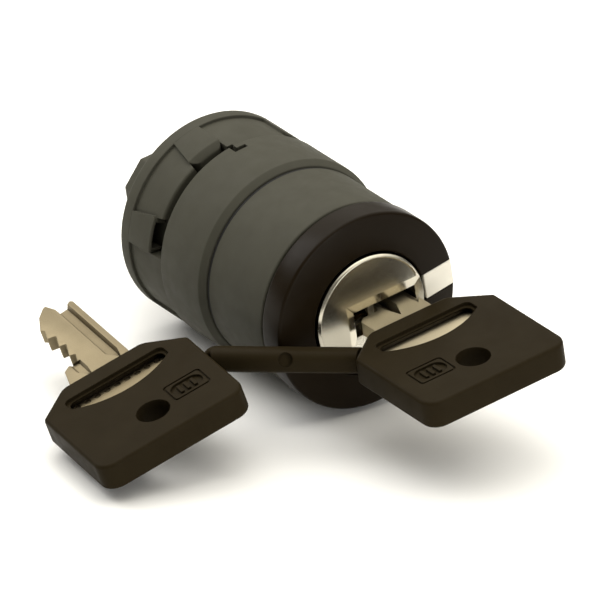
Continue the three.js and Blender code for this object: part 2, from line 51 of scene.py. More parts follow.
ROLL = 9.2  # the keyway's turn about the lock's axis
ROTOR = Matrix.Rotation(math.radians(-ROLL), 4, "Y")
KEY_1 = ROTOR @ Matrix.Translation(Vector((2.65, -25.5, -1.2)) * MM)
KEY_2 = (
    Matrix.Translation(Vector((-33.1, -2.8, -7.86)) * MM)
    @ Matrix.Rotation(math.radians(-6.77), 4, "Z")
    @ Matrix.Rotation(math.radians(-19.6), 4, "Y")
)
LUG_COUNT = 6
LUG_PITCH = 360 / LUG_COUNT
FIRST_LUG = 51.3
LUG_HALF = 8.5  # half of a lug's width, in degrees
LUG_FRONT = 12.1
RING_R = 15.4
RING_BORE_R = 13.3
RIM_FRONT = 18.3  # where the lugs and panels meet the ring's rim
PANEL_FRONT = 10.02
TAPERED_FRONT = 11.75
TAPER = 5.2 / (RIM_FRONT - TAPERED_FRONT)  # degrees that a tapered panel narrows by on each side, per mm
WAFER_COUNT = 4
FIRST_WAFER = -15.4
WAFER_PITCH = 2.7
SCREW_COUNT = 3
SCREW_CIRCLE = 10.85
DIAL_R = 14.9
DIAL_INNER_R = 9.3
DIAL_INNER = -20.1  # the dial's sloping face, at its inner edge
DIAL_SLOPE = 0.8 / (DIAL_R - DIAL_INNER_R)
KEYWAY_LEFT = -2.6
FLOOR = -15.6
VIEW_BACK = Vector((-0.5034, -0.7464, 0.4352))  # from the object towards the camera


# ------------------------------------------------------------------ mesh helpers

def link(name, mesh):
    obj = bpy.data.objects.new(name, mesh)
    bpy.context.scene.collection.objects.link(obj)
    return obj


def make(name, points, faces):
    """A mesh object from corners in millimetres."""
    mesh = bpy.data.meshes.new(name)
    mesh.from_pydata([[c * MM for c in p] for p in points], [], faces)
    work = bmesh.new()
    work.from_mesh(mesh)
    bmesh.ops.remove_doubles(work, verts=work.verts, dist=1e-7)
    bmesh.ops.recalc_face_normals(work, faces=work.faces)
    work.to_mesh(mesh)
    work.free()
    return link(name, mesh)


def rounded(corners, steps=5, closed=True):
    """Corners (x, y) or (x, y, radius) as a line of points with the stated corners rounded."""
    line = []
    for i, corner in enumerate(corners):
        inside = closed or 0 < i < len(corners) - 1
        radius = corner[2] if len(corner) > 2 and inside else 0
        b = Vector(corner[:2])
        if radius <= 0:
            line.append(b)
            continue
        to_a = (Vector(corners[i - 1][:2]) - b).normalized()
        to_c = (Vector(corners[(i + 1) % len(corners)][:2]) - b).normalized()
        half = to_a.angle(to_c) / 2
        centre = b + (to_a + to_c).normalized() * (radius / math.sin(half))
        start = b + to_a * (radius / math.tan(half)) - centre
        end = b + to_c * (radius / math.tan(half)) - centre
        turn = math.atan2(start.x * end.y - start.y * end.x, start.dot(end))
        for k in range(steps + 1):
            spun = start.copy()
            spun.rotate(Matrix.Rotation(turn * k / steps, 2))
            line.append(centre + spun)
    return line


def lathe(name, corners, steps=192, fillet_steps=5):
    """A solid turned about the lock's axis from corners (radius, y, fillet)."""
    on_axis = corners[0][0] == 0
    section = rounded(corners, fillet_steps, closed=not on_axis)
    points, rings = [], []
    for r, y in section:
        if r < 1e-6:
            rings.append([len(points)] * steps)
            points.append((0, y, 0))
            continue
        rings.append(list(range(len(points), len(points) + steps)))
        for k in range(steps):
            a = 2 * math.pi * k / steps
            points.append((r * math.cos(a), y, r * math.sin(a)))
    faces = []
    last = len(rings) - (1 if on_axis else 0)
    for i in range(last):
        low, high = rings[i], rings[(i + 1) % len(rings)]
        for k in range(steps):
            n = (k + 1) % steps
            face = list(dict.fromkeys((low[k], low[n], high[n], high[k])))
            if len(face) > 2:
                faces.append(face)
    return make(name, points, faces)


def wedge(name, corners, start, end, lean=(0, 0), steps=24):
    """Part of a turned ring between two angles.

    lean turns its start and end sides with y, in degrees per mm from the first corner's y.
    """
    section = rounded(corners)
    base = section[0][1]
    points = []
    for k in range(steps + 1):
        for r, y in section:
            a0, a1 = start + lean[0] * (y - base), end + lean[1] * (y - base)
            a = math.radians(a0 + (a1 - a0) * k / steps)
            points.append((r * math.cos(a), y, r * math.sin(a)))
    n = len(section)
    faces = [list(range(n)), list(range(steps * n, steps * n + n))]
    for k in range(steps):
        for i in range(n):
            j = (i + 1) % n
            faces.append((k * n + i, k * n + j, k * n + n + j, k * n + n + i))
    return make(name, points, faces)


def block(name, low, high):
    """A box from its lowest to its highest corner."""
    spans = [(low[k], high[k]) for k in range(3)]
    points = [(x, y, z) for x in spans[0] for y in spans[1] for z in spans[2]]
    faces = [(0, 1, 3, 2), (4, 6, 7, 5), (0, 4, 5, 1), (2, 3, 7, 6), (0, 2, 6, 4), (1, 5, 7, 3)]
    return make(name, points, faces)


def prism(name, outline, low, high, axis="Z"):
    """An outline (x, y) thickened along Z, or an outline (x, z) thickened along Y."""
    n = len(outline)
    place = (lambda p, d: (p[0], p[1], d)) if axis == "Z" else (lambda p, d: (p[0], d, p[1]))
    points = [place(p, low) for p in outline] + [place(p, high) for p in outline]
    faces = [list(range(n)), list(range(n, 2 * n))]
    faces += [(i, (i + 1) % n, n + (i + 1) % n, n + i) for i in range(n)]
    return make(name, points, faces)


def rod(name, radius, low, high, axis="Z", steps=64, centre=(0, 0)):
    circle = [
        (
            centre[0] + radius * math.cos(2 * math.pi * k / steps),
            centre[1] + radius * math.sin(2 * math.pi * k / steps),
        )
        for k in range(steps)
    ]
    return prism(name, circle, low, high, axis)


def place(obj, matrix):
    """Moves a piece's mesh, leaving its origin at the frame's."""
    obj.data.transform(matrix)
    obj.data.update()
    return obj


def flatten(obj):
    """Turns a piece's modifiers into its mesh."""
    graph = bpy.context.evaluated_depsgraph_get()
    mesh = bpy.data.meshes.new_from_object(obj.evaluated_get(graph))
    obj.modifiers.clear()
    obj.data = mesh
    return obj


def boolean(obj, operation, tools):
    for tool in tools:
        modifier = obj.modifiers.new(operation, "BOOLEAN")
        modifier.operation = operation
        modifier.solver = "EXACT"
        modifier.object = tool
        flatten(obj)
        bpy.data.objects.remove(tool)
    return obj


def cut(obj, *tools):
    return boolean(obj, "DIFFERENCE", tools)


def join(obj, *tools):
    return boolean(obj, "UNION", tools)


def ease(obj, width, segments=3, angle=35):
    """Rounds a piece's sharp edges."""
    modifier = obj.modifiers.new("ease", "BEVEL")
    modifier.width = width * MM
    modifier.segments = segments
    modifier.limit_method = "ANGLE"
    modifier.angle_limit = math.radians(angle)
    modifier.use_clamp_overlap = True
    modifier.miter_outer = "MITER_ARC"
    return flatten(obj)


def pillow(name, outline, thickness, edge, middle=0, steps=5):
    """A plate with rounded edges: its outline, convex or nearly so, shrinks towards both faces."""
    n = len(outline)
    area = 0
    for i in range(n):
        here, ahead = outline[i], outline[(i + 1) % n]
        area += here[0] * ahead[1] - ahead[0] * here[1]
    sign = 1 if area > 0 else -1
    inward = []
    for i in range(n):
        a, b, c = (Vector(outline[(i + d) % n][:2]) for d in (-1, 0, 1))
        e1, e2 = (b - a).normalized(), (c - b).normalized()
        n1, n2 = Vector((-e1.y, e1.x)) * sign, Vector((-e2.y, e2.x)) * sign
        mitre = (n1 + n2).normalized()
        inward.append(mitre / max(0.3, mitre.dot(n1)))
    half = thickness / 2
    levels = []
    for side in (-1, 1):
        part = []
        for k in range(steps + 1):
            a = math.pi / 2 * k / steps
            part.append((edge * (1 - math.cos(a)), side * (half - edge * (1 - math.sin(a)))))
        levels += part[::-1] if side < 0 else part
    points, faces = [], []
    for inset, z in levels:
        for corner, step in zip(outline, inward):
            points.append((corner[0] + step.x * inset, corner[1] + step.y * inset, middle + z))
    for k in range(len(levels) - 1):
        for i in range(n):
            j = (i + 1) % n
            faces.append((k * n + i, k * n + j, k * n + n + j, k * n + n + i))
    faces += [list(range(n)), list(range(len(points) - n, len(points)))]
    return make(name, points, faces)


def sweep(name, points, sizes, sides=32):
    """A bar of rounded section along points, with sizes (half width, half height) at each point."""
    rings, faces = [], []
    up = Vector((0, 0, 1))
    blunt = 0.8
    for i, p in enumerate(points):
        ahead = (points[min(i + 1, len(points) - 1)] - points[max(i - 1, 0)]).normalized()
        side = ahead.cross(up).normalized()
        top = side.cross(ahead)
        w, h = sizes[i]
        for k in range(sides):
            a = 2 * math.pi * k / sides
            c, s = math.cos(a), math.sin(a)
            x = math.copysign(abs(c) ** blunt, c) * w
            z = math.copysign(abs(s) ** blunt, s) * h
            rings.append(tuple(p + side * x + top * z))
    for i in range(len(points) - 1):
        for k in range(sides):
            n = (k + 1) % sides
            faces.append((i * sides + k, i * sides + n, (i + 1) * sides + n, (i + 1) * sides + k))
    faces += [list(range(sides)), list(range((len(points) - 1) * sides, len(points) * sides))]
    return make(name, rings, faces)


# ------------------------------------------------------------------ materials

class Nodes:
    """A short way of writing a material's node tree."""

    def __init__(self, name):
        self.material = bpy.data.materials.new(name)
        self.material.use_nodes = True
        self.tree = self.material.node_tree
        self.shader = self.tree.nodes["Principled BSDF"]
        self.where = self.tree.nodes.new("ShaderNodeTexCoord").outputs["Object"]

    def node(self, kind, inputs=None, **settings):
        made = self.tree.nodes.new("ShaderNode" + kind)
        for key, value in settings.items():
            setattr(made, key, value)
        for key, value in (inputs or {}).items():
            self.put(made.inputs[key], value)
        return made

    def put(self, socket, value):
        if isinstance(value, bpy.types.NodeSocket):
            self.tree.links.new(value, socket)
        else:
            socket.default_value = value

    def noise(self, size, detail=3):
        """Noise with features of a size in millimetres."""
        settings = {"Vector": self.where, "Scale": 1 / (size * MM), "Detail": detail, "Roughness": 0.5}
        return self.node("TexNoise", settings).outputs["Fac"]

    def spread(self, value, low, high, from_low=0.3, from_high=0.7):
        return self.node(
            "MapRange",
            {"Value": value, "From Min": from_low, "From Max": from_high, "To Min": low, "To Max": high},
        ).outputs[0]

    def mix(self, factor, one, two):
        made = self.node("Mix", data_type="RGBA")
        self.put(made.inputs[0], factor)
        self.put(made.inputs[6], (*one, 1))
        self.put(made.inputs[7], (*two, 1))
        return made.outputs[2]

    def bump(self, height, depth, edge=0.0):
        """Bump of a depth in millimetres, with edges softened by a radius in millimetres."""
        made = self.node("Bump", {"Height": height, "Distance": depth * MM, "Strength": 1.0})
        if edge:
            bevel = self.node("Bevel", {"Radius": edge * MM}, samples=6)
            self.put(made.inputs["Normal"], bevel.outputs[0])
        return made.outputs[0]


def srgb(*channels):
    """A colour from its 0-255 values."""
    return tuple(
        c / 255 / 12.92 if c / 255 <= 0.04045 else ((c / 255 + 0.055) / 1.055) ** 2.4 for c in channels
    )


def plastic(name, dark, light, rough, grain=0.25, depth=0.006, edge=0.15, specular=0.5):
    """Moulded plastic or rubber with a fine grain."""
    m = Nodes(name)
    m.put(m.shader.inputs["Base Color"], m.mix(m.noise(5, 4), dark, light))
    m.put(m.shader.inputs["Roughness"], m.spread(m.noise(2.2, 5), rough[0], rough[1]))
    m.put(m.shader.inputs["Specular IOR Level"], specular)
    m.put(m.shader.inputs["Normal"], m.bump(m.noise(grain, 2), depth, edge))
    return m.material


def metal(name, dark, light, rough, grain=0.12, depth=0.002, edge=0.1, crease_shade_reach=0.0):
    """Plated or bare metal; crease_shade_reach is the distance, in millimetres, from inner corners within
    which shade is painted into its colour.
    """
    m = Nodes(name)
    streaks = m.noise(grain, 3)
    colour = m.mix(m.noise(3, 4), dark, light)
    if crease_shade_reach:
        # Painted shade: an ambient occlusion mask darkens the colour towards near-black in inner corners and
        # hollows.
        open_air = m.node("AmbientOcclusion", {"Distance": crease_shade_reach * MM}, samples=8).outputs["AO"]
        blend = m.node("Mix", data_type="RGBA")
        m.put(blend.inputs[0], m.spread(open_air, 0.0, 1.0, 0.3, 0.9))
        m.put(blend.inputs[6], (0.03, 0.022, 0.014, 1))
        m.put(blend.inputs[7], colour)
        colour = blend.outputs[2]
    m.put(m.shader.inputs["Base Color"], colour)
    m.put(m.shader.inputs["Metallic"], 1.0)
    m.put(m.shader.inputs["Roughness"], m.spread(streaks, rough[0], rough[1]))
    m.put(m.shader.inputs["Normal"], m.bump(streaks, depth, edge))
    return m.material


HOUSING = plastic("housing", srgb(59, 58, 50), srgb(67, 66, 57), (0.6, 0.74), 0.22, 0.006, 0.2, 0.12)
DIAL = plastic("dial", srgb(20, 14, 6), srgb(26, 19, 9), (0.28, 0.38), 0.3, 0.0015, 0.15, 0.06)
WHITE = plastic("marker", srgb(228, 222, 207), srgb(234, 229, 215), (0.3, 0.4), 0.4, 0.002, 0.1)
NYLON = plastic("detent", srgb(214, 210, 198), srgb(226, 222, 212), (0.4, 0.5), 0.4, 0.002, 0.1)
KEY_PLASTIC = plastic("key_plastic", srgb(31, 25, 14), srgb(38, 32, 20), (0.32, 0.46), 0.2, 0.006, 0.15, 0.02)
RUBBER = plastic("rubber", srgb(18, 18, 17), srgb(26, 25, 24), (0.6, 0.75), 0.2, 0.006, 0.05, 0.3)
# The lock plug and the key blades get painted shade in their keyway, slots and grooves.
NICKEL = metal("lock_nickel", srgb(198, 192, 176), srgb(209, 204, 189), (0.18, 0.28), crease_shade_reach=1.2)
KEY_FINISH = {"rough": (0.46, 0.58), "grain": 0.15, "depth": 0.0008, "crease_shade_reach": 1.5}
KEY_METAL = metal("key_nickel", srgb(168, 158, 134), srgb(181, 171, 147), **KEY_FINISH)
# A darker copy of the key nickel for the second key's blade: painted shade, toning down the light that blade
# catches.
KEY_2_SHADED_METAL = metal("key_2_shaded_nickel", srgb(124, 113, 90), srgb(137, 126, 102), **KEY_FINISH)
BRASS = metal("brass", srgb(176, 142, 76), srgb(196, 164, 96), (0.25, 0.4))
STEEL = metal("steel", srgb(160, 160, 158), srgb(184, 184, 182), (0.2, 0.32))


def finish_piece(obj, material, body, slot, *nodes, smooth=35):
    """Shades a piece, makes it ride on its body and stand for its CAD nodes."""
    obj.data.materials.clear()
    obj.data.materials.append(material)
    for face in obj.data.polygons:
        face.use_smooth = True
        face.material_index = 0
    obj.data.set_sharp_from_angle(angle=math.radians(smooth))
    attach(obj, body)
    if nodes:
        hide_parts(*nodes)
    return obj


# ------------------------------------------------------------------ fixed housing

collar = lathe(
    "collar",
    [
        (14.6, -14.45, 0.35),
        (14.6, -1.1, 0.15),
        (13.5, -1.1),
        (13.5, -2.3),
        (11.6, -2.3),
        (11.6, -14.45, 0.15),
    ],
)
finish_piece(collar, HOUSING, "housing", "housing_grey", "front_collar")

gasket = lathe("gasket", [(14.5, -1.05, 0.15), (14.5, -0.55, 0.15), (13.7, -0.55), (13.7, -1.05)])
finish_piece(gasket, RUBBER, "housing", "seal_rubber", "seat_gasket")

seal = lathe("seal", [(14.1, -14.9, 0.1), (14.1, -14.6, 0.1), (11.9, -14.6), (11.9, -14.9)])
finish_piece(seal, RUBBER, "housing", "seal_rubber", "dial_seal")

barrel = lathe(
    "barrel",
    [
        (14.75, -0.6, 0.1),
        (15.5, 0.3, 0.3),
        (15.5, 9.95, 0.25),
        (12.75, 9.95),
        (12.75, 18.9, 0.15),
        (12.3, 18.9, 0.1),
        (12.3, 8.0),
        (10.6, 8.0),
        (10.6, 6.9),
        (11.6, 6.9),
        (11.6, -0.5, 0.1),
    ],
)
cut(
    barrel,
    wedge("mouth", [(13.0, 8.15), (16.5, 8.15), (16.5, 11), (13.0, 11)], 101.6, 104.4),
    wedge("slit", [(13.0, 8.15), (16.5, 8.15), (16.5, 8.95), (13.0, 8.95)], 96.5, 102.3),
)
finish_piece(barrel, HOUSING, "housing", "housing_grey", "rear_body")

plate = lathe(
    "plate",
    [
        (14.1, 19.5, 0.1),
        (14.1, 20.9, 0.3),
        (12.9, 20.9),
        (12.9, 20.6, 0.1),
        (12.4, 20.6, 0.1),
        (12.4, 20.9),
        (8.9, 20.9, 0.2),
        (8.9, 19.5),
    ],
)
screw_turns = [22.5 + 360 / SCREW_COUNT * i for i in range(SCREW_COUNT)]
for turn in screw_turns:
    hole = rod("hole", 1.1, 19, 21.5, "Y", 32, (SCREW_CIRCLE, 0))
    cut(plate, place(hole, Matrix.Rotation(math.radians(turn), 4, "Y")))
finish_piece(plate, HOUSING, "housing", "housing_grey", "back_plate")

for i, turn in enumerate(screw_turns):
    screw = lathe(
        f"screw_{i + 1}",
        [(0, 15.0), (0.8, 15.0), (0.8, 21.0), (1.5, 21.0), (1.5, 21.45, 0.1), (1.0, 21.9, 0.4), (0, 21.9)],
        32,
    )
    cut(
        screw,
        block("a", (-0.85, 21.35, -0.17), (0.85, 22.5, 0.17)),
        block("b", (-0.17, 21.35, -0.85), (0.17, 22.5, 0.85)),
    )
    place(screw, Matrix.Rotation(math.radians(turn), 4, "Y") @ Matrix.Translation((SCREW_CIRCLE * MM, 0, 0)))
    finish_piece(screw, STEEL, "housing", "small_steel", f"back_screw_{i + 1}")

bush = lathe("bush", [(8.6, 19.2), (8.6, 21.0, 0.2), (7.5, 21.0, 0.2), (7.5, 19.2)])
finish_piece(bush, BRASS, "housing", "lock_brass", "rear_bush")

# ------------------------------------------------------------------ locking ring

ring = lathe(
    "ring",
    [
        (RING_R, RIM_FRONT, 0.12),
        (RING_R, 20.6, 0.5),
        (14.4, 20.6, 0.15),
        (14.4, 19.2),
        (RING_BORE_R, 19.2),
        (RING_BORE_R, RIM_FRONT),
    ],
    240,
)


def corner_cutter(angle, front, side, size):
    """Takes the square corner off a lug's front, seen from outside, and leaves a round one."""
    line = [(-side * 0.4, -0.4), (side * size, -0.4), (side * size, 0)]
    for k in range(1, 9):
        a = math.pi / 2 * k / 8
        line.append((side * size * (1 - math.sin(a)), size * (1 - math.cos(a))))
    line.append((-side * 0.4, size))
    points = []
    for r in (13.0, 16.2):
        for across, along in line:
            a = math.radians(angle) + across / RING_R
            points.append((r * math.cos(a), front + along, r * math.sin(a)))
    n = len(line)
    faces = [list(range(n)), list(range(n, 2 * n))]
    faces += [(i, (i + 1) % n, n + (i + 1) % n, n + i) for i in range(n)]
    return make("corner", points, faces)


ring_parts = []
for i in range(LUG_COUNT):
    lug = FIRST_LUG + LUG_PITCH * i
    tapered = i % 2 == 1
    # The sides next to tapered panels lean out, to stay against them.
    lean = (0, -TAPER) if tapered else (TAPER, 0)
    flare = TAPER * (RIM_FRONT - LUG_FRONT)
    low = lug - LUG_HALF - (0 if tapered else flare)
    high = lug + LUG_HALF + (flare if tapered else 0)
    # A solid lug's front slopes up to its top; every second lug is cored out from the front instead.
    front, top = (LUG_FRONT, LUG_FRONT + 1.0) if tapered else (LUG_FRONT + 0.9, LUG_FRONT + 0.9)
    section = [(RING_BORE_R, front), (15.38, front, 0.3), (RING_R, RIM_FRONT), (RING_BORE_R, RIM_FRONT)]
    if tapered:
        section[1:2] = [(14.5, front, 0.5), (15.38, top, 0.3)]
    piece = wedge("lug", section, low, high, lean, 16)
    cut(
        piece,
        corner_cutter(low, front, 1, 1.2 if tapered else 0.8),
        corner_cutter(high, front, -1, 1.8 if tapered else 0.7),
    )
    if not tapered:
        hollow = [(13.0, 11), (15.0, 11), (15.0, 15.7), (13.0, 15.7)]
        cut(piece, wedge("core", hollow, low + 3.4, high - 3.0))
    ring_parts.append(piece)
    front = TAPERED_FRONT if tapered else PANEL_FRONT
    panel = wedge(
        "panel",
        [(RING_BORE_R, front), (14.95, front, 0.4), (14.95, 18.6), (RING_BORE_R, 18.6)],
        lug + LUG_HALF - 0.1,
        lug + LUG_PITCH - LUG_HALF + 0.1,
    )
    if tapered:
        low, high = lug + LUG_HALF, lug + LUG_PITCH - LUG_HALF
        come_in = TAPER * (RIM_FRONT - 10)
        side = [(12.8, 10), (16, 10), (16, RIM_FRONT), (12.8, RIM_FRONT)]
        cut(panel, wedge("low", side, low - 4, low + come_in, (0, -TAPER)))
        cut(panel, wedge("high", side, high - come_in, high + 4, (TAPER, 0)))
    ring_parts.append(panel)
join(ring, *ring_parts)
cut(ring, wedge("finger_room", [(13.0, 9), (16, 9), (16, 11.1), (13.0, 11.1)], 99.6, 105.6))
finish_piece(ring, HOUSING, "ring", "housing_grey", "locking_ring")

# ------------------------------------------------------------------ dial, marker and lock

dial = lathe(
    "dial",
    [
        (DIAL_R, -19.3, 0.5),
        (DIAL_R, -15.05, 0.3),
        (11.6, -15.05, 0.1),
        (11.6, -17.3),
        (8.9, -17.3),
        (8.9, -18.4),
        (DIAL_INNER_R, -18.4),
        (DIAL_INNER_R, DIAL_INNER, 0.2),
    ],
    256,
)


def face_y(r):
    """How far forward the dial's sloping face is at a radius."""
    return DIAL_INNER + DIAL_SLOPE * (r - DIAL_INNER_R)


groove = prism(
    "groove",
    [(9.0, -22), (15.5, -22), (15.5, face_y(15.5) + 0.85), (9.0, face_y(9.0) + 0.85)],
    -2.02,
    2.02,
)
cut(dial, groove)
place(dial, ROTOR)
finish_piece(dial, DIAL, "rotor", "dial_black", "dial_ring")

marker = prism(
    "marker",
    [
        (9.5, face_y(9.5)),
        (14.75, face_y(14.75) + 0.05),
        (14.75, face_y(14.75) + 0.72),
        (9.5, face_y(9.5) + 0.72),
    ],
    -1.95,
    1.95,
)
ease(marker, 0.15)
place(marker, ROTOR)
finish_piece(marker, WHITE, "rotor", "marker_white", "marker_insert")

plug = lathe(
    "plug",
    [
        (0, -20.4),
        (8.5, -20.4, 0.1),
        (8.62, -20.7, 0.1),
        (9.0, -20.3, 0.2),
        (9.0, -18.7),
        (8.6, -18.7),
        (8.6, 6.9),
        (7.3, 6.9),
        (7.3, 7.9),
        (8.2, 7.9),
        (8.2, 9.0),
        (0, 9.0),
    ],
    256,
)


def hopper(name, low, high, slot_low, slot_high, depth, base):
    """A four-sided funnel: its wide mouth at base narrows to the slot at base + depth."""
    points = []
    for y, (left, bottom), (right, top) in ((base, low, high), (base + depth, slot_low, slot_high)):
        points += [(left, y, bottom), (right, y, bottom), (right, y, top), (left, y, top)]
    faces = [(0, 1, 2, 3), (4, 7, 6, 5), (0, 4, 5, 1), (1, 5, 6, 2), (2, 6, 7, 3), (3, 7, 4, 0)]
    return make(name, points, faces)


cut(
    plug,
    hopper("funnel", (-4.6, -5.6), (9.6, 3.4), (KEYWAY_LEFT, -2.95), (7.8, 1.0), 0.75, -20.65),
    block("mouth", (KEYWAY_LEFT, -21.5, -2.95), (7.85, -16.5, 1.0)),
    block("keyway", (KEYWAY_LEFT, -21.5, -2.65), (7.85, -3.0, 0.25)),
)
for i in range(WAFER_COUNT):
    y = FIRST_WAFER + WAFER_PITCH * i
    cut(plug, block("slot", (-9.6, y - 0.75, -4.4), (9.6, y + 0.75, 2.0)))
cut(plug, block("channel", (-9.6, -16.2, -1.2), (-7.3, -6.5, 1.2)))
join(plug, block("square", (-3.5, 8.5, -3.5), (3.5, 13.0, 3.5)))
place(plug, ROTOR)
finish_piece(plug, NICKEL, "rotor", "lock_nickel", "lock_plug", smooth=12)

# ------------------------------------------------------------------ drive coupler and tail

tail_corners = []
for x, z in ((1, 1), (-1, 1), (-1, -1), (1, -1)):
    pair = [(6.95 * x, 2.35 * z, 0.5), (3.65 * x, 5.65 * z, 0.5)]
    tail_corners += pair if x == z else pair[::-1]
tail = pillow("tail", rounded(tail_corners, 4), 10.8, 0.35)
place(tail, Matrix.Translation((0, 26.6 * MM, 0)) @ Matrix.Rotation(math.radians(90), 4, "X"))
cut(tail, rod("head_room", 3.1, 29.6, 33, "Y"), rod("shank_room", 1.8, 20, 33, "Y"))
place(tail, ROTOR)
finish_piece(tail, HOUSING, "rotor", "housing_grey")

neck = lathe(
    "coupler_neck",
    [(1.8, 9.3), (9.2, 9.3, 0.2), (9.2, 18.6, 0.2), (7.2, 18.6), (7.2, 21.5), (1.8, 21.5)],
)
cut(neck, block("socket", (-3.8, 8.3, -3.8), (3.8, 13.3, 3.8)))
for side in (-1, 1):
    hole = rod("ball_hole", 1.35, 4.5, 10, "Z", 32)
    place(hole, Matrix.Translation((0, 15.5 * MM, 0)) @ Matrix.Rotation(math.radians(90 * side), 4, "Y"))
    cut(neck, hole)
place(neck, ROTOR)
finish_piece(neck, HOUSING, "rotor", "housing_grey", "drive_coupler")

bolt = lathe(
    "tail_screw",
    [(0, 9.5), (1.3, 9.5), (1.3, 29.8), (2.8, 29.8), (2.8, 31.2, 0.2), (2.4, 31.6, 0.2), (0, 31.6)],
    64,
)
cut(bolt, block("a", (-1.7, 30.7, -0.32), (1.7, 33, 0.32)), block("b", (-0.32, 30.7, -1.7), (0.32, 33, 1.7)))
place(bolt, ROTOR)
finish_piece(bolt, STEEL, "rotor", "small_steel", "coupler_screw")

# ------------------------------------------------------------------ keys

BLADE_TOP = 1.1  # half of the blade's thickness
BLADE = [
    (4.85, -2.6, 0.3),
    (4.85, 19.0, 0.15),
    (4.5, 19.5, 0.2),
    (3.8, 18.95, 0.15),
    (2.3, 18.8, 0.3),
    (1.43, 21.4, 0.15),
    (0.9, 21.2, 0.2),
    (-0.54, 19.6, 0.3),
    (-1.91, 16.6, 0.2),
    (-1.45, 16.0, 0.15),
    (-2.14, 13.9, 0.15),
    (-0.9, 13.5, 0.2),
    (-1.78, 10.75, 0.15),
    (-0.76, 10.5, 0.2),
    (-1.80, 7.46, 0.15),
    (-0.95, 7.15, 0.2),
    (-1.53, 5.4, 0.1),
    (-3.19, 5.2, 0.3),
    (-4.1, 4.5, 0.3),
    (-4.85, 1.6, 0.3),
    (-4.85, -2.6, 0.3),
    (-8.3, -2.6, 0.4),
    (-8.3, -9.1, 0.8),
    (8.3, -9.1, 0.8),
    (8.3, -2.6, 0.4),
]


def trough(name, left, right, tip, lean, depth, start, length, end=24.0):
    """A cutter for a groove along the blade.

    It narrows to the point (tip, start) over a length, and its walls lean.
    """
    sections = []
    for k in range(9):
        t = max(0.02, k / 8)
        near = tip + (left - tip) * t
        far = tip + (right - tip) * t
        fade = min(1, 0.35 + t)
        sections.append((start + length * t, near, far, depth * fade, lean * fade * t))
    sections.append((end, left, right, depth, lean))
    points, faces = [], []
    for y, near, far, deep, inset in sections:
        floor_z = BLADE_TOP - deep
        points += [(near, y, 2.0), (far, y, 2.0), (far, y, BLADE_TOP)]
        points += [(far - inset, y, floor_z), (near + inset, y, floor_z), (near, y, BLADE_TOP)]
    for k in range(len(sections) - 1):
        for i in range(6):
            j = (i + 1) % 6
            faces.append((k * 6 + i, k * 6 + j, k * 6 + 6 + j, k * 6 + 6 + i))
    faces += [list(range(6)), list(range(len(points) - 6, len(points)))]
    return make(name, points, faces)


def key_blade(name, material, matrix, body, node, grooves, notched):
    """A key's metal blade with its bow plate; a notched one has a row of round dents across its bow."""
    blade = prism(name, rounded(BLADE, 3), -BLADE_TOP, BLADE_TOP)
    ease(blade, 0.12, 3, 40)
    under = prism("under", rounded([(-0.6, 1.2, 0.6), (0.8, 1.2, 0.6), (0.8, 23), (-0.6, 23)]), -2, -0.45)
    cut(blade, under, *[trough("groove", *groove) for groove in grooves])
    for low, high in ((0.65, 2), (-2, -0.65)):
        cut(blade, block("bow_face", (-8.0, -8.8, low), (8.0, -3.3, high)))
    if notched:
        for k in range(9):
            x = -6.6 + 1.65 * k
            cut(blade, rod("notch", 0.5, 0.5, 2, "Z", 24, (x, -4.1)))
    else:
        shoulder = [(-4.85, 1.0), (-3.0, 1.0), (-3.0, 5.2), (-4.1, 5.2, 0.3), (-4.85, 4.5, 0.3)]
        join(blade, prism("shoulder", rounded(shoulder), -BLADE_TOP, BLADE_TOP))
    place(blade, matrix)
    return finish_piece(blade, material, body, "key_nickel", node)


MARK_Y = -14.9  # the middle of the mark on a head


def head_outline():
    corners = [
        (-6.6, 0, 2.5),
        (-11.95, -4.45, 0.9),
        (-11.95, -22.8, 2.5),
        (11.95, -22.8, 2.5),
        (11.95, -4.45, 0.9),
        (6.6, 0, 2.5),
    ]
    return rounded(corners, 10)


def window_outline(grow=0.0):
    """Straight along the blade side, bulging on the other."""
    half = 7.7 + grow
    near = -3.8 + grow
    straight = [(-half, -5.9), (-half, near, 1.0), (half, near, 1.0), (half, -5.9)]
    line = rounded(straight, 6, closed=False)[1:-1]
    sag = 2.7
    radius = (half * half + sag * sag) / (2 * sag)
    spread = math.asin(half / radius)
    for k in range(33):
        a = spread - 2 * spread * k / 32
        line.append(Vector((radius * math.sin(a), -8.2 - grow * 0.5 + radius - radius * math.cos(a))))
    return line


def oblong(x, y, wide, high, radius):
    """The corners of an upright rectangle round a centre."""
    w, h = wide / 2, high / 2
    return [(x - w, y - h, radius), (x + w, y - h, radius), (x + w, y + h, radius), (x - w, y + h, radius)]


def slot_with_round_ends(x, y, half_length, radius, steps=32):
    """The outline of a slot along X round a centre."""
    line = []
    for side in (-1, 1):
        for k in range(steps + 1):
            a = math.pi * k / steps - side * math.pi / 2
            line.append(Vector((x + side * half_length + radius * math.cos(a), y + radius * math.sin(a))))
    return line


